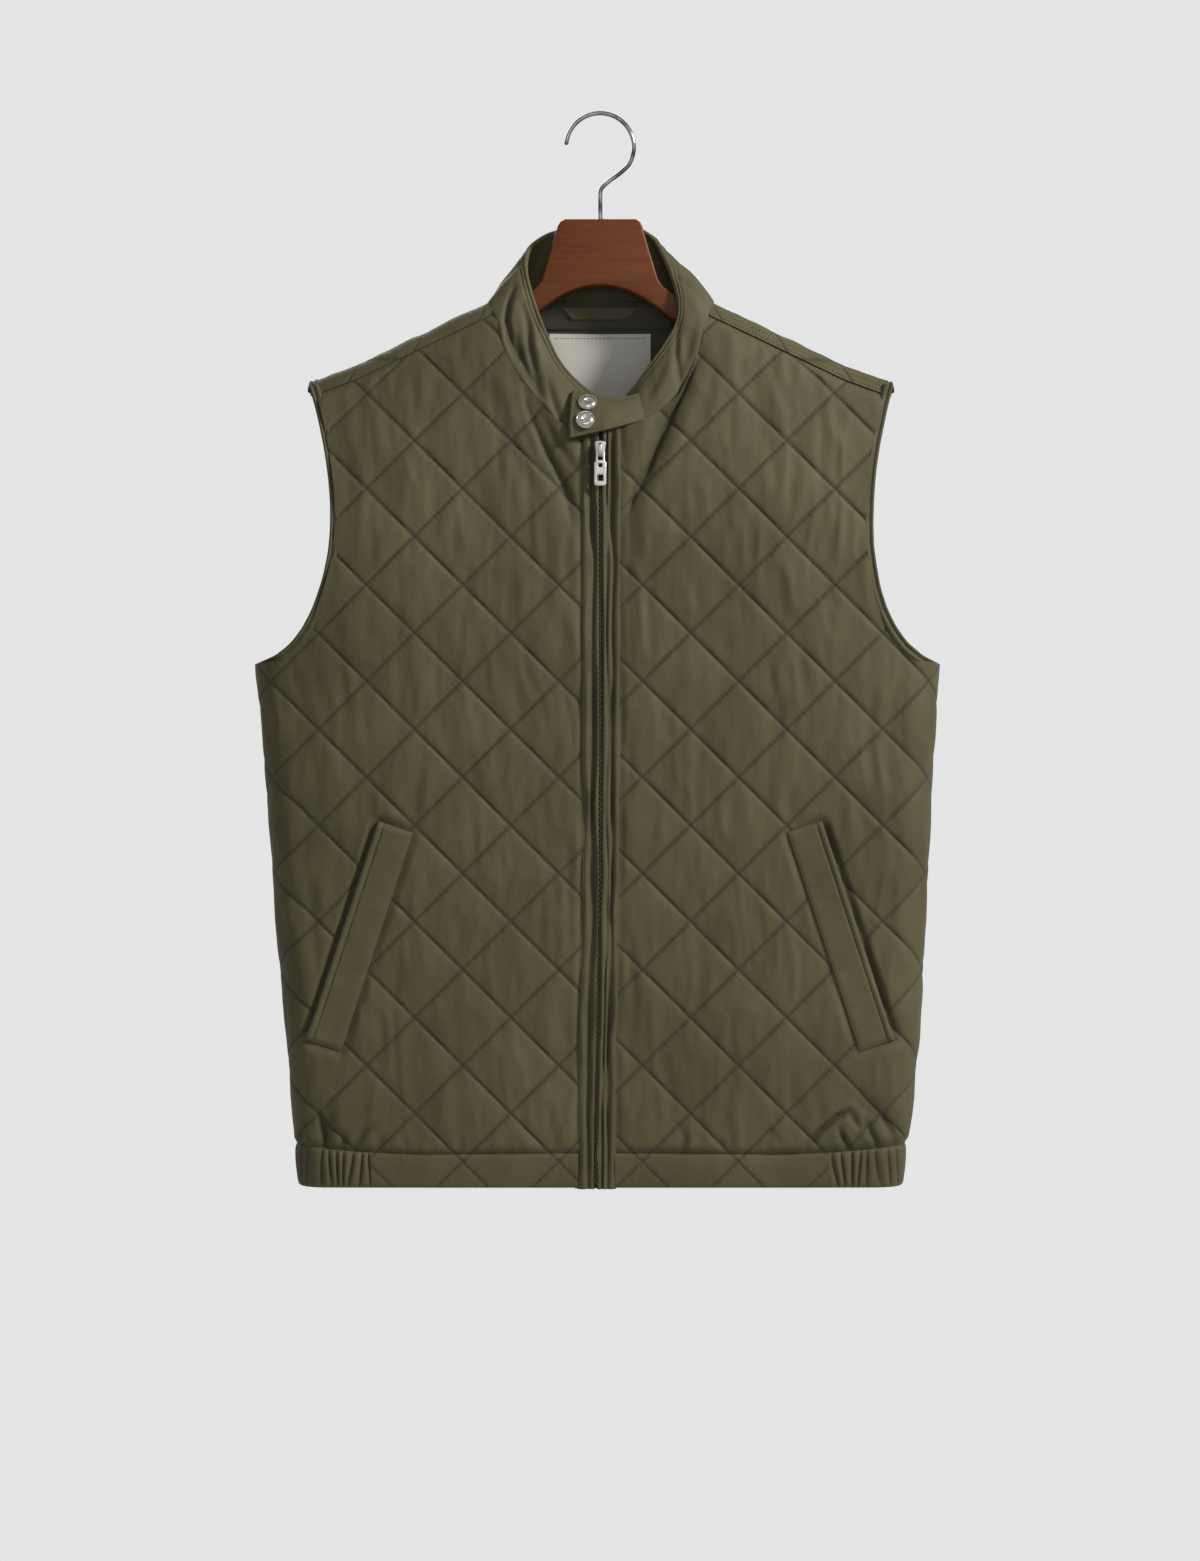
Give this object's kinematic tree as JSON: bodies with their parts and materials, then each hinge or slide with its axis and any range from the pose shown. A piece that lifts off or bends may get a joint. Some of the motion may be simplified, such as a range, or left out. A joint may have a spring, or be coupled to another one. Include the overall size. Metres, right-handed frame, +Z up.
{
  "type": "quilted vest on a hanger",
  "caption": "Padded diamond-quilted vest with a stand collar, front zip, welt pockets and elasticated hem, hanging on a wooden hanger with a wire hook.",
  "frame": {"origin": "inside of the top of the hanger's hook, where a rail or a wall hook carries it", "axes": "+Z up, the front of the vest faces -Y, +X is the wearer's left"},
  "size_m": [0.5365, 0.0854, 0.8409],
  "materials": {
    "shell": "olive padded nylon, soft sheen",
    "trim": "olive cloth, folded and sewn",
    "lining": "dark olive lining cloth",
    "label": "plain beige woven label, bare",
    "tape": "woven zip tape",
    "snap_metal": "polished snap caps",
    "zip_metal": "satin silver zip slider and pull",
    "wood": "satin reddish-brown stained wood",
    "wire": "bright chromed wire"
  },
  "bodies": {
    "vest": {"front_panel_right": "shell", "front_panel_left": "shell", "back_panel": "shell", "armhole_binding_right": "trim", "armhole_binding_left": "trim", "pocket_welt_right": "shell", "pocket_welt_left": "shell", "hem_front_right": "shell", "hem_front_left": "shell", "hem_elastic_right": "shell", "hem_elastic_left": "shell", "hem_back": "shell", "zip_strip_right": "trim", "zip_strip_left": "trim", "zip_tape": "tape", "collar": "shell", "collar_tab": "shell", "collar_button_lower": "snap_metal", "collar_button_upper": "snap_metal", "neck_facing": "lining", "neck_label": "label", "hang_loop": "lining", "zip_slider": "zip_metal", "hanger_board": "wood", "hanger_hook": "wire"},
    "pull_tab": {"zip_pull": "zip_metal"}
  },
  "joints": [
    {"name": "pull_tab_swing", "type": "hinge", "parent": "vest", "child": "pull_tab", "pos_m": [0.0002, -0.04248, -0.2679], "axis": [-1, 0, 0], "range_deg": [0, 120]}
  ]
}
